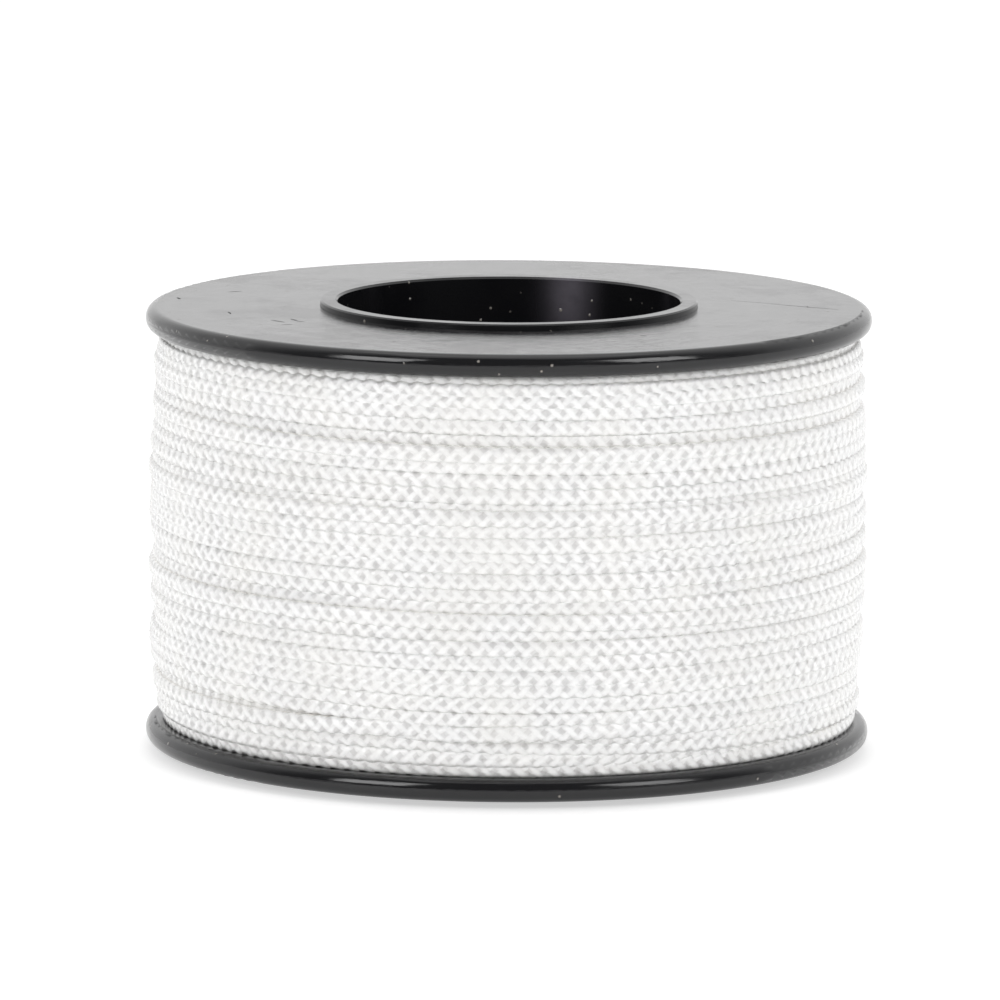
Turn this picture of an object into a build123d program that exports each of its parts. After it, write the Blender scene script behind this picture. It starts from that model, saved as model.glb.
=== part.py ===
from build123d import *
import math
import os

# Small spool wound full with braided cord, standing upright on one end of its barrel.
# Millimetres, +Z up. The spool's axis is Z and the surface it stands on is Z = 0.

# Driving dimensions
flange_diameter = 50.8
flange_thickness = 1.6
rim_rounding = 0.75
winding_width = 27.5
bore_diameter = 24.0
barrel_end_diameter = 26.4
barrel_middle_diameter = 27.2
end_ring_height = 0.45
bore_chamfer = 0.15
end_ring_chamfer = 0.10
flange_lead_in = 0.20

# The winding is a little fuller at its middle than beside the flanges
winding_below_rim = 0.3
winding_drop_lower = 0.85
winding_drop_upper = 1.15
winding_corner = 0.6

# The cord before it is pressed into the winding, and how closely it lies there
cord_diameter = 1.18
turn_pitch = 0.86
layer_pitch = 1.17

# Clearances
flange_hole_clearance = 0.02
winding_side_clearance = 0.05
winding_core_clearance = 0.05

# Levels along the axis
lower_flange_bottom = end_ring_height
lower_flange_top = lower_flange_bottom + flange_thickness
upper_flange_bottom = lower_flange_top + winding_width
upper_flange_top = upper_flange_bottom + flange_thickness
overall_height = upper_flange_top + end_ring_height

bore_radius = bore_diameter / 2
barrel_end_radius = barrel_end_diameter / 2
barrel_middle_radius = barrel_middle_diameter / 2
flange_radius = flange_diameter / 2


def turned(points):
    """Solid of revolution about Z from a closed list of (radius, height) points."""
    outline = Polyline(*[(radius, 0, height) for radius, height in points], close=True)
    return revolve(make_face(outline), Axis.Z)


def make_barrel():
    """Tube with a slightly larger middle, so each flange seats against a shoulder."""
    return turned(
        [
            (bore_radius + bore_chamfer, 0),
            (barrel_end_radius - end_ring_chamfer, 0),
            (barrel_end_radius, end_ring_chamfer),
            (barrel_end_radius, lower_flange_top),
            (barrel_middle_radius, lower_flange_top),
            (barrel_middle_radius, upper_flange_bottom),
            (barrel_end_radius, upper_flange_bottom),
            (barrel_end_radius, overall_height - end_ring_chamfer),
            (barrel_end_radius - end_ring_chamfer, overall_height),
            (bore_radius + bore_chamfer, overall_height),
            (bore_radius, overall_height - bore_chamfer),
            (bore_radius, bore_chamfer),
        ]
    )


def make_flange():
    """Round cheek lying on Z = 0, with a rounded rim and the hole's lead-in on its upper face."""
    hole_radius = barrel_end_radius + flange_hole_clearance
    cheek = turned(
        [
            (hole_radius, 0),
            (flange_radius, 0),
            (flange_radius, flange_thickness),
            (hole_radius + flange_lead_in, flange_thickness),
            (hole_radius, flange_thickness - flange_lead_in),
        ]
    )
    rim_edges = [edge for edge in cheek.edges() if edge.geom_type == GeomType.CIRCLE]
    rim_edges = [edge for edge in rim_edges if abs(edge.radius - flange_radius) < 1e-6]
    return fillet(rim_edges, rim_rounding)


def make_winding():
    """Closed solid of the wound cord's outer shape, between the flanges and round the barrel."""
    inner = barrel_middle_radius + winding_core_clearance
    bottom = lower_flange_top + winding_side_clearance
    top = upper_flange_bottom - winding_side_clearance
    widest = flange_radius - winding_below_rim
    lower = widest - winding_drop_lower
    upper = widest - winding_drop_upper
    corner = winding_corner
    halfway = corner * (1 - math.sqrt(0.5))
    floor = Line((inner, 0, bottom), (lower - corner, 0, bottom))
    lower_corner = ThreePointArc(
        (lower - corner, 0, bottom),
        (lower - halfway, 0, bottom + halfway),
        (lower, 0, bottom + corner),
    )
    side = ThreePointArc(
        (lower, 0, bottom + corner),
        (widest, 0, (bottom + top) / 2),
        (upper, 0, top - corner),
    )
    upper_corner = ThreePointArc(
        (upper, 0, top - corner),
        (upper - halfway, 0, top - halfway),
        (upper - corner, 0, top),
    )
    ceiling = Line((upper - corner, 0, top), (inner, 0, top))
    core = Line((inner, 0, top), (inner, 0, bottom))
    outline = Wire([*floor.edges(), *lower_corner.edges(), *side.edges(),
                    *upper_corner.edges(), *ceiling.edges(), *core.edges()])
    return revolve(make_face(outline), Axis.Z)


barrel = make_barrel()
flange = make_flange()
lower_flange = Pos(0, 0, lower_flange_bottom) * flange
upper_flange = Pos(0, 0, upper_flange_top) * Rot(180, 0, 0) * flange
wound_cord = make_winding()

pieces = {
    "barrel": barrel,
    "lower_flange": lower_flange,
    "upper_flange": upper_flange,
    "wound_cord": wound_cord,
}

os.makedirs("parts", exist_ok=True)
for name, piece in pieces.items():
    export_step(piece, f"parts/{name}.step")
    box = piece.bounding_box()
    print(name, f"volume {piece.volume:.1f} mm3", f"z {box.min.Z:.2f} to {box.max.Z:.2f}")

# Length of cord that fits: turns across the width times layers through the depth
layers = (flange_radius - winding_below_rim - barrel_middle_radius) / layer_pitch
turns_per_layer = winding_width / turn_pitch
mean_radius = (flange_radius - winding_below_rim + barrel_middle_radius) / 2
length_m = layers * turns_per_layer * 2 * math.pi * mean_radius / 1000
print(f"about {layers:.1f} layers of {turns_per_layer:.1f} turns of {cord_diameter} mm cord")
print(f"about {length_m:.1f} m of cord")
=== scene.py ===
import math

import bpy
import numpy as np
from mathutils import Matrix, Vector


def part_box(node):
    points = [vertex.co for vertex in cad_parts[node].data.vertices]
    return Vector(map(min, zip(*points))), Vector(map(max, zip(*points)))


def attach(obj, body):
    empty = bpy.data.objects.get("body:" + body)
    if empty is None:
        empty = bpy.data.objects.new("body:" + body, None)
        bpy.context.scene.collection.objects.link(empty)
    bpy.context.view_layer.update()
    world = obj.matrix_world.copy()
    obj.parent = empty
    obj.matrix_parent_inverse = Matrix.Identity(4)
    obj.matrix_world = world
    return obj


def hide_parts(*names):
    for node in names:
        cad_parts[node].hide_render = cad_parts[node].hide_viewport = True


MM = 0.001

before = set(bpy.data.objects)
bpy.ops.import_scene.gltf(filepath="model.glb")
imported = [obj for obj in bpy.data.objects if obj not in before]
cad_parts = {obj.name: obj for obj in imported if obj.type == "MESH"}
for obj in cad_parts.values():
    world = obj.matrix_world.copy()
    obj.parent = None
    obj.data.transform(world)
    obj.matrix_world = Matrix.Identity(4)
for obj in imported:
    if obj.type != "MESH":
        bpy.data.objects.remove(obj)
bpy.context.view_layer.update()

# ---------------------------------------------------------------- sizes
TURNS_PER_LAYER = 32
LAYERS = 10
CORD_WIDTH = 1.17 * MM
CORD_DEPTH = 1.04 * MM
FLANGE_TOP = 31.15 * MM
SECTION_SQUARENESS = 3.2  # 2 is an ellipse
STRANDS_EACH_WAY = 3
BRAID_PERIOD = 1.11 * MM
STRAND_RISE = 0.11 * MM
WEAVE_RISE = 0.04 * MM
HIDDEN_CORE_RADIUS = 0.49 * MM
BRAIDED_CORE_RADIUS = 0.40 * MM

# how finely the turns are worked out, and how far apart the rings of each tube lie
STEPS_PER_TURN = 360
PLAIN_STEPS_PER_TURN = 24
HIDDEN_CORE_STEP = 3.2 * MM
BRAIDED_CORE_STEP = 4.5 * MM
UNDER_STEP = 0.25 * MM
OUTER_STEP = 0.14 * MM

# how the turns settle: distances between neighbours are shares of the cord's width
LEVEL_TURNS = 0.8
CLOSEST_TURNS = 0.54
FARTHEST_TURNS = 0.86
OUTER_JITTER = 0.38 * MM
UNDER_JITTER = 0.15 * MM
UNDER_RAISED = 0.45 * MM
STEP_AZIMUTH = -52
PROUD_AZIMUTH = -92

barrel_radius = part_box("barrel")[1].x
barrel_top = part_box("barrel")[1].z
winding_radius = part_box("wound_cord")[1].x
winding_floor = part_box("lower_flange")[1].z
winding_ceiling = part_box("upper_flange")[0].z
rng = np.random.default_rng(7)


def link(obj):
    bpy.context.scene.collection.objects.link(obj)
    return obj


def smooth(values, width):
    """The values again, evened out over about that many steps."""
    reach = int(3 * width)
    kernel = np.exp(-0.5 * (np.arange(-reach, reach + 1) / width) ** 2)
    padded = np.pad(values, reach, mode="edge")
    return np.convolve(padded, kernel / kernel.sum(), mode="valid")


def unevenness(count, width, size):
    """Random values that change slowly, over about that many steps."""
    return size * smooth(rng.normal(size=count), width)


# ---------------------------------------------------------------- the cord's route
def outer_radius(angle, z):
    """Radius of the full winding: fullest at its middle, less beside the flanges, and least so in front."""
    u = (z - winding_floor) / (winding_ceiling - winding_floor)
    low = 0.75 * MM * np.exp(-np.clip(u, 0, 1) / 0.10)
    high = 0.9 * MM * np.exp(-np.clip(1 - u, 0, 1) / 0.07)
    in_front = np.exp(2.5 * (np.cos(angle) - 1))
    return winding_radius - 0.05 * MM - low - high * (1 - 0.6 * in_front)


def layer_radius(layer, angle, z):
    """Radius of a layer's centreline at an angle and a height."""
    room = outer_radius(angle, z) - barrel_radius
    return barrel_radius + (layer + 0.5) * room / LAYERS


def plain_layer(layer, per_turn):
    """Points of one even layer, as angle, height and radius."""
    count = TURNS_PER_LAYER * per_turn
    turn = np.arange(count) / per_turn
    low = winding_floor + 0.44 * CORD_WIDTH
    high = winding_ceiling - 0.42 * CORD_WIDTH
    share = np.clip((turn - LEVEL_TURNS) / (TURNS_PER_LAYER - 2 * LEVEL_TURNS), 0, 1)
    if layer % 2:
        share = 1 - share
    z = low + share * (high - low)
    angle = 2 * math.pi * turn + math.pi
    return angle, z, layer_radius(layer, angle, z)


def settled_layer(layer, jitter):
    """Points of one uneven layer, whose turns lie beside and partly over each other."""
    angle, z, r = plain_layer(layer, STEPS_PER_TURN)
    n = STEPS_PER_TURN
    outermost = layer == LAYERS - 1
    if outermost:
        # the lowest turns move down a place close to one azimuth, and lie level elsewhere
        azimuth = (angle + math.pi) % (2 * math.pi) - math.pi
        turn = angle / (2 * math.pi) - 0.5
        window = 1 / (1 + np.exp(-(np.degrees(azimuth) - STEP_AZIMUTH) / 13))
        stepped = np.floor(turn) + window
        share = np.clip((turn - (TURNS_PER_LAYER - 8)) / 2, 0, 1)
        pitch = (z[-1] - z[0]) / (TURNS_PER_LAYER - 1 / n)
        z = z + share * (stepped - turn) * pitch
    z = z + unevenness(len(z), 26, 3.6 * jitter)
    z = z + unevenness(len(z), 110, 20 * jitter)
    proud = np.clip(unevenness(len(r), 45, 5.04 * jitter), -0.35 * MM, 0.22 * MM)
    r = r + proud
    low = winding_floor + 0.43 * CORD_WIDTH
    high = winding_ceiling - 0.41 * CORD_WIDTH
    rest = layer_radius(layer, angle, z) + proud + (0 if outermost else UNDER_RAISED)
    for _ in range(60):
        dz = z[n:] - z[:-n]
        dr = r[n:] - r[:-n]
        apart = np.hypot(dz, dr)
        too_close = np.clip(CLOSEST_TURNS * CORD_WIDTH - apart, 0, None)
        too_far = np.clip(apart - FARTHEST_TURNS * CORD_WIDTH, 0, None)
        short = (too_close - too_far) * 0.35
        push_z = short * dz / np.maximum(apart, 1e-9)
        push_r = short * dr / np.maximum(apart, 1e-9)
        z[n:] += push_z
        z[:-n] -= push_z
        r[n:] += push_r
        r[:-n] -= push_r
        r += (rest - r) * 0.06
        z = np.clip(smooth(z, 5), low, high)
        r = smooth(r, 5)
    if outermost:
        # one turn stands proud where it crosses its neighbours, with a dip above it
        across = np.exp(-(((np.degrees(azimuth) - PROUD_AZIMUTH) / 9) ** 2))
        r = r + 0.35 * MM * across * np.exp(-(((z - 7.4 * MM) / (0.7 * MM)) ** 2))
        r = r - 0.40 * MM * across * np.exp(-(((z - 9.4 * MM) / (0.8 * MM)) ** 2))
    return angle, z, r


def points_of(angle, z, r, every, per_turn):
    """Control points of a curve that runs at radius r, with that many points a turn."""
    a, z, r = angle[::every], z[::every], r[::every] / math.cos(math.pi / per_turn)
    return np.stack([r * np.sin(a), -r * np.cos(a), z], axis=1)


def route():
    """Control points of the whole cord, and how many of them each layer has."""
    points, counts = [], []
    for layer in range(LAYERS):
        if layer < LAYERS - 2:
            p = points_of(*plain_layer(layer, PLAIN_STEPS_PER_TURN), 1, PLAIN_STEPS_PER_TURN)
        else:
            jitter = OUTER_JITTER if layer == LAYERS - 1 else UNDER_JITTER
            p = points_of(*settled_layer(layer, jitter), 10, STEPS_PER_TURN // 10)
        points.append(p)
        counts.append(len(p))
    return np.concatenate(points), counts


control, layer_counts = route()
curve = bpy.data.curves.new("cord_route", "CURVE")
curve.dimensions = "3D"
spline = curve.splines.new("NURBS")
spline.points.add(len(control) - 1)
spline.points.foreach_set("co", np.c_[control, np.ones(len(control))].ravel())
spline.order_u = 3
spline.use_endpoint_u = True
curve.resolution_u = 4
route_object = bpy.data.objects.new("cord_route", curve)
line_mesh = bpy.data.meshes.new_from_object(route_object)
line = np.zeros(len(line_mesh.vertices) * 3)
line_mesh.vertices.foreach_get("co", line)
line = line.reshape(-1, 3)
bpy.data.meshes.remove(line_mesh)
bpy.data.objects.remove(route_object)
bpy.data.curves.remove(curve)
along = np.concatenate([[0], np.cumsum(np.linalg.norm(np.diff(line, axis=0), axis=1))])
print("cord length", round(float(along[-1]), 3), "m in", len(line), "points")

# where the outer two layers start along the cord
share_of_line = np.cumsum([0] + layer_counts) / len(control)
layer_start = np.interp(share_of_line * (len(line) - 1), np.arange(len(line)), along)
under_start, outer_start = layer_start[-3], layer_start[-2]


def line_at(s):
    return np.stack([np.interp(s, along, line[:, k]) for k in range(3)], axis=1)


# the braid turns slowly about the cord's axis along its length
twist_at = np.arange(0, along[-1] + 0.01, 0.004)
twist_values = np.cumsum(unevenness(len(twist_at), 5, 0.30))


# ---------------------------------------------------------------- tubes along the route
def tube(name, s, around, radii, finish):
    """A mesh tube along the cord. radii gives each ring's radii at the angles in around."""
    centre = line_at(s)
    tangent = np.gradient(line_at(s), axis=0)
    tangent /= np.linalg.norm(tangent, axis=1)[:, None]
    outward = centre * [1, 1, 0]
    outward /= np.linalg.norm(outward, axis=1)[:, None]
    outward -= (outward * tangent).sum(1)[:, None] * tangent
    outward /= np.linalg.norm(outward, axis=1)[:, None]
    side = np.cross(tangent, outward)
    c, w = np.cos(around), np.sin(around)
    ring = (
        centre[:, None, :]
        + radii[:, :, None] * c[None, :, None] * outward[:, None, :]
        + radii[:, :, None] * w[None, :, None] * side[:, None, :]
    )
    rings, n = len(s), len(around)
    verts = ring.reshape(-1, 3)
    i = np.arange(rings - 1)[:, None] * n
    j = np.arange(n)[None, :]
    k = (j + 1) % n
    quads = np.stack([i + j, i + n + j, i + n + k, i + k], axis=2).reshape(-1, 4)
    mesh = bpy.data.meshes.new(name)
    mesh.vertices.add(len(verts))
    mesh.vertices.foreach_set("co", verts.ravel())
    mesh.loops.add(quads.size)
    mesh.loops.foreach_set("vertex_index", quads.ravel())
    mesh.polygons.add(len(quads))
    mesh.polygons.foreach_set("loop_start", np.arange(0, quads.size, 4))
    mesh.polygons.foreach_set("loop_total", np.full(len(quads), 4))
    mesh.update(calc_edges=True)
    mesh.validate()
    mesh.polygons.foreach_set("use_smooth", np.ones(len(quads), bool))
    turn = np.append(around, around[0] + 2 * math.pi) / (2 * math.pi)
    twist = np.interp(s, twist_at, twist_values) / (2 * math.pi)
    u = np.stack([s[:-1], s[1:], s[1:], s[:-1]], axis=1) / BRAID_PERIOD
    v = np.stack([turn[:-1], turn[:-1], turn[1:], turn[1:]], axis=1)
    shift = np.stack([twist[:-1], twist[1:], twist[1:], twist[:-1]], axis=1)
    uv = np.empty((rings - 1, n, 4, 2))
    uv[..., 0] = u[:, None, :]
    uv[..., 1] = v[None, :, :] + shift[:, None, :]
    mesh.uv_layers.new(name="along_cord").data.foreach_set("uv", uv.ravel())
    # 1 where the surface faces out from the spool, 0 at the cord's sides
    facing = mesh.attributes.new("facing", "FLOAT", "POINT")
    facing.data.foreach_set("value", np.tile(c, rings))
    mesh.materials.append(finish)
    return link(bpy.data.objects.new(name, mesh))


def braid_height(s, around):
    """How far the braid's surface stands above its hollows: six strands, each over one and under one."""
    twist = np.interp(s, twist_at, twist_values)[:, None]
    phi = around[None, :] + twist
    gap = 2 * math.pi / STRANDS_EACH_WAY
    lead = gap * s[:, None] / BRAID_PERIOD
    right = (phi - lead + gap / 2) % gap - gap / 2
    left = (phi + lead + gap / 2) % gap - gap / 2
    weave = WEAVE_RISE * np.cos(STRANDS_EACH_WAY * phi)
    half = 0.5 * gap
    over_right = (1 - (right / half) ** 2) * STRAND_RISE + weave
    over_left = (1 - (left / half) ** 2) * STRAND_RISE - weave
    return np.maximum(over_right, over_left)


def braided(name, start, end, step, around, finish):
    """A braided tube over one stretch of the cord."""
    s = np.linspace(start, end, round((end - start) / step) + 1)
    deep = np.abs(np.cos(around) / CORD_DEPTH) ** SECTION_SQUARENESS
    wide = np.abs(np.sin(around) / CORD_WIDTH) ** SECTION_SQUARENESS
    flattened = (deep + wide) ** (-1 / SECTION_SQUARENESS)
    radii = 0.5 * flattened[None, :] - STRAND_RISE + braid_height(s, around)
    if end == along[-1]:
        # the cut end closes
        radii[-3:] *= np.array([0.92, 0.65, 0.05])[:, None]
    return tube(name, s, around, radii, finish)


# ---------------------------------------------------------------- materials
class Graph:
    """Short ways to add nodes to one node tree."""

    def __init__(self, tree):
        self.tree = tree

    def add(self, kind, **settings):
        node = self.tree.nodes.new(kind)
        for name, value in settings.items():
            setattr(node, name, value)
        return node

    def put(self, socket, value):
        if isinstance(value, bpy.types.NodeSocket):
            self.tree.links.new(value, socket)
        else:
            socket.default_value = value

    def math(self, operation, *values, clamp=False):
        node = self.add("ShaderNodeMath", operation=operation, use_clamp=clamp)
        for socket, value in zip(node.inputs, values):
            self.put(socket, value)
        return node.outputs[0]

    def remap(self, value, low, high, to_low=0.0, to_high=1.0):
        node = self.add("ShaderNodeMapRange", interpolation_type="SMOOTHSTEP")
        for socket, v in zip(node.inputs, (value, low, high, to_low, to_high)):
            self.put(socket, v)
        return node.outputs[0]

    def blend(self, factor, a, b):
        node = self.add("ShaderNodeMix", data_type="RGBA")
        self.put(node.inputs[0], factor)
        self.put(node.inputs[6], a)
        self.put(node.inputs[7], b)
        return node.outputs[2]

    def noise(self, vector, scale, detail=2.0, roughness=0.5):
        node = self.add("ShaderNodeTexNoise")
        self.put(node.inputs["Vector"], vector)
        node.inputs["Scale"].default_value = scale
        node.inputs["Detail"].default_value = detail
        node.inputs["Roughness"].default_value = roughness
        return node.outputs["Fac"]

    def bump(self, height, distance):
        node = self.add("ShaderNodeBump")
        node.inputs["Distance"].default_value = distance
        self.put(node.inputs["Height"], height)
        return node.outputs[0]


def group(name, inputs, outputs):
    """A node group with those value or vector sockets, and a Graph to fill it with."""
    tree = bpy.data.node_groups.new(name, "ShaderNodeTree")
    for label, kind in inputs:
        tree.interface.new_socket(label, in_out="INPUT", socket_type=kind)
    for label, kind in outputs:
        tree.interface.new_socket(label, in_out="OUTPUT", socket_type=kind)
    return tree, Graph(tree), tree.nodes.new("NodeGroupInput"), tree.nodes.new("NodeGroupOutput")


def material(name):
    m = bpy.data.materials.new(name)
    m.use_nodes = True
    return m, Graph(m.node_tree), m.node_tree.nodes["Principled BSDF"]


# how the braid's strands lie, from the cord's own length and round coordinates
weave_group, g, given, out = group(
    "braid_weave",
    [("Along", "NodeSocketVector")],
    [("Height", "NodeSocketFloat"), ("Painted_hollow_shade", "NodeSocketFloat"), ("Filament", "NodeSocketFloat")],
)
xyz = g.add("ShaderNodeSeparateXYZ")
g.put(xyz.inputs[0], given.outputs["Along"])
strands_v = g.math("MULTIPLY", xyz.outputs["Y"], STRANDS_EACH_WAY)
right_at = g.math("ADD", g.math("SUBTRACT", strands_v, xyz.outputs["X"]), 0.5)
left_at = g.math("ADD", g.math("ADD", strands_v, xyz.outputs["X"]), 0.5)
right_off = g.math("SUBTRACT", g.math("FRACT", right_at), 0.5)
left_off = g.math("SUBTRACT", g.math("FRACT", left_at), 0.5)
lift = g.math("COSINE", g.math("MULTIPLY", strands_v, 2 * math.pi))


def strand_top(offset, lifted):
    round_top = g.math("SUBTRACT", 1.0, g.math("MULTIPLY", g.math("MULTIPLY", offset, offset), 4.6))
    return g.math("ADD", g.math("MULTIPLY", round_top, 0.8), g.math("MULTIPLY", lifted, 0.2))


top_right = strand_top(right_off, lift)
top_left = strand_top(left_off, g.math("MULTIPLY", lift, -1.0))
surface = g.math("SMOOTH_MAX", top_right, top_left, 0.12)
g.put(out.inputs["Height"], surface)
# painted shade: this mask greys the braid between the strands and where its surface lies low; it also makes
# those places rougher
nearest = g.math("MINIMUM", g.math("ABSOLUTE", right_off), g.math("ABSOLUTE", left_off))
between = g.remap(nearest, 0.11, 0.30)
g.put(out.inputs["Painted_hollow_shade"], g.math("MAXIMUM", between, g.remap(surface, 0.35, 0.95, 0.6, 0.0)))
on_right = g.math("GREATER_THAN", top_right, top_left)
on_left = g.math("SUBTRACT", 1.0, on_right)
across = g.math("ADD", g.math("MULTIPLY", on_right, right_off), g.math("MULTIPLY", on_left, left_off))
g.put(out.inputs["Filament"], g.math("COSINE", g.math("MULTIPLY", across, 2 * math.pi * 9)))


def cord_material(name, crest, hollow_painted_shade):
    """White braid: painted shade greys and slightly warms the hollows between strands and leaves the strand
    tops bright; painted bounce light lightens and warms the cord's sides.
    """
    m, g, shader = material(name)
    uv = g.add("ShaderNodeUVMap", uv_map="along_cord")
    weave = g.add("ShaderNodeGroup", node_tree=weave_group)
    place = g.add("ShaderNodeTexCoord").outputs["Object"]
    wander = g.add("ShaderNodeTexNoise")
    g.put(wander.inputs["Vector"], place)
    wander.inputs["Scale"].default_value = 1100.0
    shift = g.add("ShaderNodeVectorMath", operation="MULTIPLY_ADD")
    g.put(shift.inputs[0], wander.outputs["Color"])
    shift.inputs[1].default_value = (0.36, 0.12, 0.0)
    g.put(shift.inputs[2], uv.outputs[0])
    g.put(weave.inputs[0], shift.outputs[0])
    patchy = g.noise(place, 260, 3)
    grain = g.noise(place, 5200, 2)
    # painted shade: the hollows' grey is blended in more strongly in some random patches than in others
    uneven = g.remap(g.noise(place, 700, 2), 0.36, 0.62, 0.7, 1.0)
    base = g.blend(g.math("MULTIPLY", weave.outputs["Painted_hollow_shade"], uneven), crest, hollow_painted_shade)
    base = g.blend(g.remap(patchy, 0.35, 0.7, 0.0, 0.28), base, (0.92, 0.90, 0.85, 1))
    # painted bounce light: the cord's sides, down in the creases between turns, are lightened and warmed
    sides = g.add("ShaderNodeAttribute", attribute_name="facing")
    base = g.blend(g.remap(sides.outputs["Fac"], 0.62, 0.20, 0.0, 0.9), base, (0.97, 0.945, 0.90, 1))
    base = g.blend(g.remap(grain, 0.3, 0.75, 0.0, 0.10), base, (0.78, 0.78, 0.78, 1))
    g.put(shader.inputs["Base Color"], base)
    g.put(shader.inputs["Roughness"], g.math("ADD", g.math("MULTIPLY", weave.outputs["Painted_hollow_shade"], 0.15), 0.22))
    fibres = g.math("MULTIPLY", weave.outputs["Filament"], 0.05)
    height = g.math("ADD", weave.outputs["Height"], fibres)
    g.put(shader.inputs["Normal"], g.bump(height, 0.11 * MM))
    shader.inputs["Specular IOR Level"].default_value = 1.0
    shader.inputs["Coat Weight"].default_value = 0.8
    shader.inputs["Coat Roughness"].default_value = 0.2
    return m


# the grey hollow colour is painted shade; the crest colour is the cord's own white
cord_mat = cord_material("braided_cord", (0.985, 0.985, 0.98, 1), (0.66, 0.655, 0.65, 1))


# streaks that run round the spool's axis
streak_group, g, given, out = group(
    "turned_streaks",
    [("Place", "NodeSocketVector")],
    [("Fine", "NodeSocketFloat"), ("Finest", "NodeSocketFloat"), ("Wide", "NodeSocketFloat")],
)
xyz = g.add("ShaderNodeSeparateXYZ")
g.put(xyz.inputs[0], given.outputs[0])
x, y, z = xyz.outputs
away = g.math("SQRT", g.math("ADD", g.math("MULTIPLY", x, x), g.math("MULTIPLY", y, y)))
STREAKS = [("Fine", 9.0, 16000.0), ("Finest", 14.0, 45000.0), ("Wide", 2.2, 900.0)]
for label, around_scale, across_scale in STREAKS:
    place = g.add("ShaderNodeCombineXYZ")
    g.put(place.inputs[0], g.math("MULTIPLY", g.math("DIVIDE", x, away), around_scale))
    g.put(place.inputs[1], g.math("MULTIPLY", g.math("DIVIDE", y, away), around_scale))
    g.put(place.inputs[2], g.math("MULTIPLY", z, across_scale))
    texture = g.add("ShaderNodeTexNoise", noise_dimensions="4D")
    g.put(texture.inputs["Vector"], place.outputs[0])
    g.put(texture.inputs["W"], g.math("MULTIPLY", away, across_scale))
    texture.inputs["Scale"].default_value = 1.0
    texture.inputs["Detail"].default_value = 2.0
    g.put(out.inputs[label], texture.outputs["Fac"])

# one straight scratch between two points
scratch_group, g, given, out = group(
    "scratch",
    [("Place", "NodeSocketVector"), ("From", "NodeSocketVector"), ("To", "NodeSocketVector"),
     ("Width", "NodeSocketFloat")],
    [("Mark", "NodeSocketFloat")],
)


def vector(operation, a, b):
    node = g.add("ShaderNodeVectorMath", operation=operation)
    g.put(node.inputs[0], a)
    g.put(node.inputs[1], b)
    return node


whole = vector("SUBTRACT", given.outputs["To"], given.outputs["From"]).outputs[0]
part = vector("SUBTRACT", given.outputs["Place"], given.outputs["From"]).outputs[0]
run = vector("DOT_PRODUCT", part, whole).outputs["Value"]
full_run = vector("DOT_PRODUCT", whole, whole).outputs["Value"]
share = g.math("DIVIDE", run, full_run, clamp=True)
foot = g.add("ShaderNodeVectorMath", operation="SCALE")
g.put(foot.inputs[0], whole)
g.put(foot.inputs["Scale"], share)
miss = vector("DISTANCE", part, foot.outputs[0]).outputs["Value"]
taper = g.math("MULTIPLY", g.math("SINE", g.math("MULTIPLY", share, math.pi)), 0.6)
reach = g.math("MULTIPLY", given.outputs["Width"], g.math("ADD", taper, 0.4))
g.put(out.inputs["Mark"], g.math("SUBTRACT", 1.0, g.math("DIVIDE", miss, reach), clamp=True))

# where the top flange is scratched and scuffed, in millimetres: x, y, x, y, width
SCRATCHES = [
    (15.6, 3.2, 19.0, 1.4, 0.05), (18.4, 1.5, 23.0, -1.3, 0.09), (20.9, 0.45, 20.9, -0.35, 0.07),
    (-16.4, -8.3, -15.5, -9.3, 0.16), (-15.6, -10.6, -14.9, -10.5, 0.12), (-15.1, -7.6, -14.6, -8.6, 0.14),
    (-14.6, -8.9, -14.1, -9.0, 0.12), (-19.8, 6.3, -18.9, 6.8, 0.14), (-23.3, 3.2, -23.1, 2.4, 0.16),
    (-19.5, -4.2, -19.3, -5.2, 0.12), (-6.0, -18.4, -2.2, -17.6, 0.06), (9.0, -15.0, 9.4, -15.3, 0.14),
]
scuff_group, g, given, out = group("scuffs", [("Place", "NodeSocketVector")], [("Mark", "NodeSocketFloat")])
total = None
for ax, ay, bx, by, wide in SCRATCHES:
    one = g.add("ShaderNodeGroup", node_tree=scratch_group)
    g.put(one.inputs["Place"], given.outputs[0])
    one.inputs["From"].default_value = (ax * MM, ay * MM, FLANGE_TOP)
    one.inputs["To"].default_value = (bx * MM, by * MM, FLANGE_TOP)
    one.inputs["Width"].default_value = wide * MM
    total = one.outputs[0] if total is None else g.math("MAXIMUM", total, one.outputs[0])
g.put(out.inputs["Mark"], total)

# sparse round flecks of dust
dust_group, g, given, out = group(
    "dust", [("Place", "NodeSocketVector"), ("Amount", "NodeSocketFloat")], [("Fleck", "NodeSocketFloat")]
)
cells = g.add("ShaderNodeTexVoronoi")
g.put(cells.inputs["Vector"], given.outputs["Place"])
cells.inputs["Scale"].default_value = 1400.0
chance = g.add("ShaderNodeSeparateXYZ")
g.put(chance.inputs[0], cells.outputs["Color"])
chosen = g.math("LESS_THAN", chance.outputs[0], given.outputs["Amount"])
spread = g.math("ADD", g.math("MULTIPLY", chance.outputs[1], 0.14), 0.08)
fleck = g.math("SUBTRACT", 1.0, g.math("DIVIDE", cells.outputs["Distance"], spread), clamp=True)
g.put(out.inputs["Fleck"], g.math("MULTIPLY", fleck, chosen))


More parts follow.
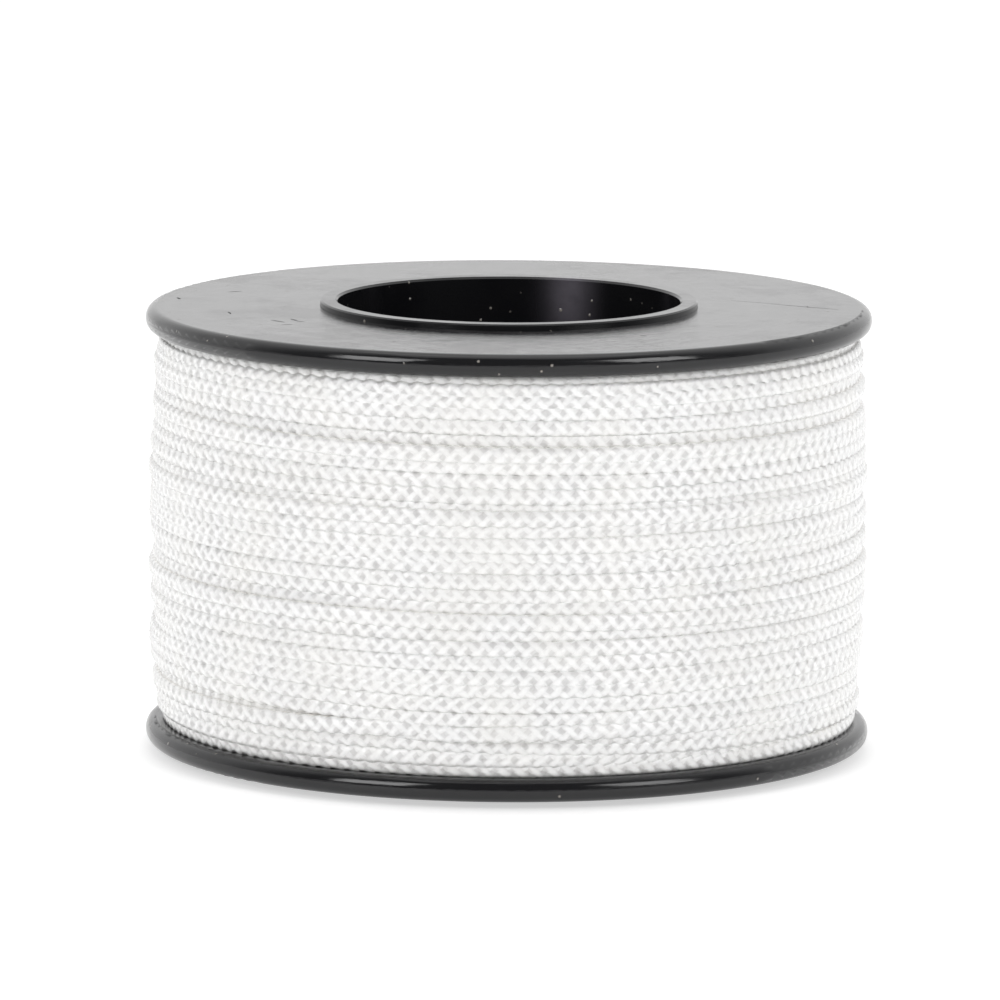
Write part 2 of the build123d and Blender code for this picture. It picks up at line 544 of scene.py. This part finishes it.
def plastic_material(name, streaks_used, streak_depth, filmed, bore_reflection_painted, roughness, dustiness):
    """Glossy black moulded plastic with faint streaks, scuffs and dust; on the bore, optionally a painted
    reflection of a soft box.
    """
    m, g, shader = material(name)
    place = g.add("ShaderNodeTexCoord").outputs["Object"]
    streaks = g.add("ShaderNodeGroup", node_tree=streak_group)
    scuffs = g.add("ShaderNodeGroup", node_tree=scuff_group)
    dust = g.add("ShaderNodeGroup", node_tree=dust_group)
    for node in (streaks, scuffs, dust):
        g.put(node.inputs["Place"], place)
    dust.inputs["Amount"].default_value = dustiness
    axes = g.add("ShaderNodeSeparateXYZ")
    g.put(axes.inputs[0], place)
    on_top = g.remap(axes.outputs["Z"], FLANGE_TOP - 0.10 * MM, FLANGE_TOP - 0.01 * MM)
    cloudy = g.noise(place, 110, 5, 0.65)
    film = g.math("MULTIPLY", streaks.outputs["Wide"], cloudy)
    film = g.math("MULTIPLY", film, g.math("MULTIPLY", on_top, filmed))
    base = g.blend(g.remap(film, 0.12, 0.42), (0.006, 0.006, 0.007, 1), (0.055, 0.054, 0.055, 1))
    if bore_reflection_painted:
        # painted reflection: a soft violet-grey patch that stands for a soft box mirrored high on the bore's
        # back wall
        beside = g.math("DIVIDE", g.math("SUBTRACT", axes.outputs["X"], 4.3 * MM), 1.5 * MM)
        behind = g.remap(axes.outputs["Y"], 9.0 * MM, 10.5 * MM)
        patch = g.math("EXPONENT", g.math("MULTIPLY", g.math("MULTIPLY", beside, beside), -1.0))
        patch = g.math("MULTIPLY", patch, g.math("MULTIPLY", behind, g.remap(cloudy, 0.25, 0.6, 0.4, 1.0)))
        patch = g.math("MULTIPLY", patch, g.remap(axes.outputs["Z"], 24 * MM, 31 * MM))
        base = g.blend(patch, base, (0.125, 0.115, 0.135, 1))
    base = g.blend(scuffs.outputs["Mark"], base, (0.001, 0.001, 0.001, 1))
    base = g.blend(dust.outputs["Fleck"], base, (0.40, 0.37, 0.33, 1))
    g.put(shader.inputs["Base Color"], base)
    worn = g.remap(cloudy, 0.42, 0.62, roughness, roughness + 0.10)
    rough = g.math("ADD", worn, g.math("MULTIPLY", scuffs.outputs["Mark"], 0.6), clamp=True)
    g.put(shader.inputs["Roughness"], rough)
    relief = g.math("MULTIPLY", streaks.outputs[streaks_used], streak_depth)
    relief = g.math("ADD", relief, g.math("MULTIPLY", cloudy, 0.02))
    relief = g.math("SUBTRACT", relief, g.math("MULTIPLY", scuffs.outputs["Mark"], 0.04))
    relief = g.math("ADD", relief, g.math("MULTIPLY", dust.outputs["Fleck"], 0.04))
    g.put(shader.inputs["Normal"], g.bump(relief, 1.0 * MM))
    return m


flange_mat = plastic_material("black_plastic", "Fine", 0.008, 1.0, False, 0.09, 0.16)
# the bore's material carries the painted reflection
barrel_mat = plastic_material("black_plastic_bore", "Finest", 0.0015, 0.0, True, 0.12, 0.25)
for node in ("barrel", "lower_flange", "upper_flange"):
    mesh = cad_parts[node].data
    mesh.materials.clear()
    mesh.materials.append(barrel_mat if node == "barrel" else flange_mat)

# ---------------------------------------------------------------- the cord's pieces
fine_around = np.radians([0, 17, 34, 51, 68, 85, 105, 140, 220, 255, 275, 292, 309, 326, 343])
coarse_around = np.radians([0, 24, 48, 72, 100, 140, 220, 260, 288, 312, 336])
core_around = np.radians([0, 60, 120, 180, 240, 300])

hidden_s = np.arange(0, under_start, HIDDEN_CORE_STEP)
braided_s = np.arange(under_start, along[-1], BRAIDED_CORE_STEP)
core_s = np.concatenate([hidden_s, braided_s, [along[-1]]])
core_r = np.where(core_s < under_start, HIDDEN_CORE_RADIUS, BRAIDED_CORE_RADIUS)
core = tube("cord_core", core_s, core_around, np.repeat(core_r[:, None], len(core_around), 1), cord_mat)
pieces = []
spans = [(under_start, outer_start, 3, UNDER_STEP, coarse_around, "cord_under")]
spans.append((outer_start, along[-1], 7, OUTER_STEP, fine_around, "cord_outer"))
for start, end, count, step, around, label in spans:
    edges = np.linspace(start, end, count + 1)
    for i in range(count):
        pieces.append(braided(f"{label}_{i + 1}", edges[i], edges[i + 1], step, around, cord_mat))
for piece in [core] + pieces:
    print(piece.name, len(piece.data.polygons) * 2, "triangles")
    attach(piece, "root")
    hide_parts("wound_cord")

# ---------------------------------------------------------------- floor, light, camera
bpy.ops.mesh.primitive_plane_add(size=6, location=(0, 0, 0))
floor = bpy.context.object
floor.name = "floor"
floor_mat, _, p = material("floor_white")
p.inputs["Base Color"].default_value = (0.62, 0.62, 0.62, 1)
p.inputs["Roughness"].default_value = 0.6
p.inputs["Emission Color"].default_value = (1, 1, 1, 1)
p.inputs["Emission Strength"].default_value = 0.55
floor.data.materials.append(floor_mat)

world = bpy.data.worlds.new("studio")
scene = bpy.context.scene
scene.world = world
world.use_nodes = True
nodes, links = world.node_tree.nodes, world.node_tree.links
direction = nodes.new("ShaderNodeTexCoord")
parts = nodes.new("ShaderNodeSeparateXYZ")
ramp = nodes.new("ShaderNodeMapRange")
ramp.interpolation_type = "SMOOTHSTEP"
ramp.inputs["From Min"].default_value = -0.35
ramp.inputs["From Max"].default_value = 0.35
ramp.inputs["To Min"].default_value = 0.18
ramp.inputs["To Max"].default_value = 1.02
links.new(direction.outputs["Generated"], parts.inputs[0])
links.new(parts.outputs["Y"], ramp.inputs["Value"])
links.new(ramp.outputs[0], nodes["Background"].inputs["Strength"])
nodes["Background"].inputs["Color"].default_value = (1, 1, 1, 1)

LIGHT_AIM_HEIGHT = 15 * MM


def area(name, place, size, power):
    """A soft box at that place, turned to the middle of the object."""
    data = bpy.data.lights.new(name, "AREA")
    data.shape = "RECTANGLE"
    data.size, data.size_y = size
    data.energy = power
    lamp = link(bpy.data.objects.new(name, data))
    lamp.location = place
    aim = Vector((0, 0, LIGHT_AIM_HEIGHT)) - Vector(place)
    lamp.rotation_euler = aim.to_track_quat("-Z", "Y").to_euler()


def around_object(azimuth, elevation, far):
    """A point at that azimuth from the front, that elevation and that distance."""
    a, e = math.radians(azimuth), math.radians(elevation)
    level = far * math.cos(e)
    return (level * math.sin(a), -level * math.cos(a), LIGHT_AIM_HEIGHT + far * math.sin(e))


area("left_box", around_object(-45, 30, 0.8), (0.32, 0.44), 2.25)
area("right_box", around_object(49, 30, 0.8), (0.32, 0.44), 2.1)
area("top_box", (0, 0.05, 0.9), (0.6, 0.6), 0.75)

middle = Vector((0, 0, barrel_top / 2))
distance, height = 653.0 * MM, 103.2 * MM
pan, tilt, roll = -0.00085, math.radians(8.846), math.radians(0.30)
forward = Vector((math.sin(pan) * math.cos(tilt), math.cos(pan) * math.cos(tilt), -math.sin(tilt)))
right = Vector((math.cos(pan), -math.sin(pan), 0))
up = right.cross(forward)
right_rolled = math.cos(roll) * right + math.sin(roll) * up
up_rolled = -math.sin(roll) * right + math.cos(roll) * up
camera_data = bpy.data.cameras.new("camera")
camera_data.lens = 339.0
camera_data.sensor_width = 36
camera_data.clip_start = 0.01
camera = link(bpy.data.objects.new("camera", camera_data))
turn = Matrix((right_rolled, up_rolled, -forward)).transposed().to_4x4()
camera.matrix_world = Matrix.Translation(middle + Vector((0, -distance, height))) @ turn
bpy.context.scene.camera = camera

scene.view_settings.view_transform = "Standard"
scene.view_settings.look = "None"
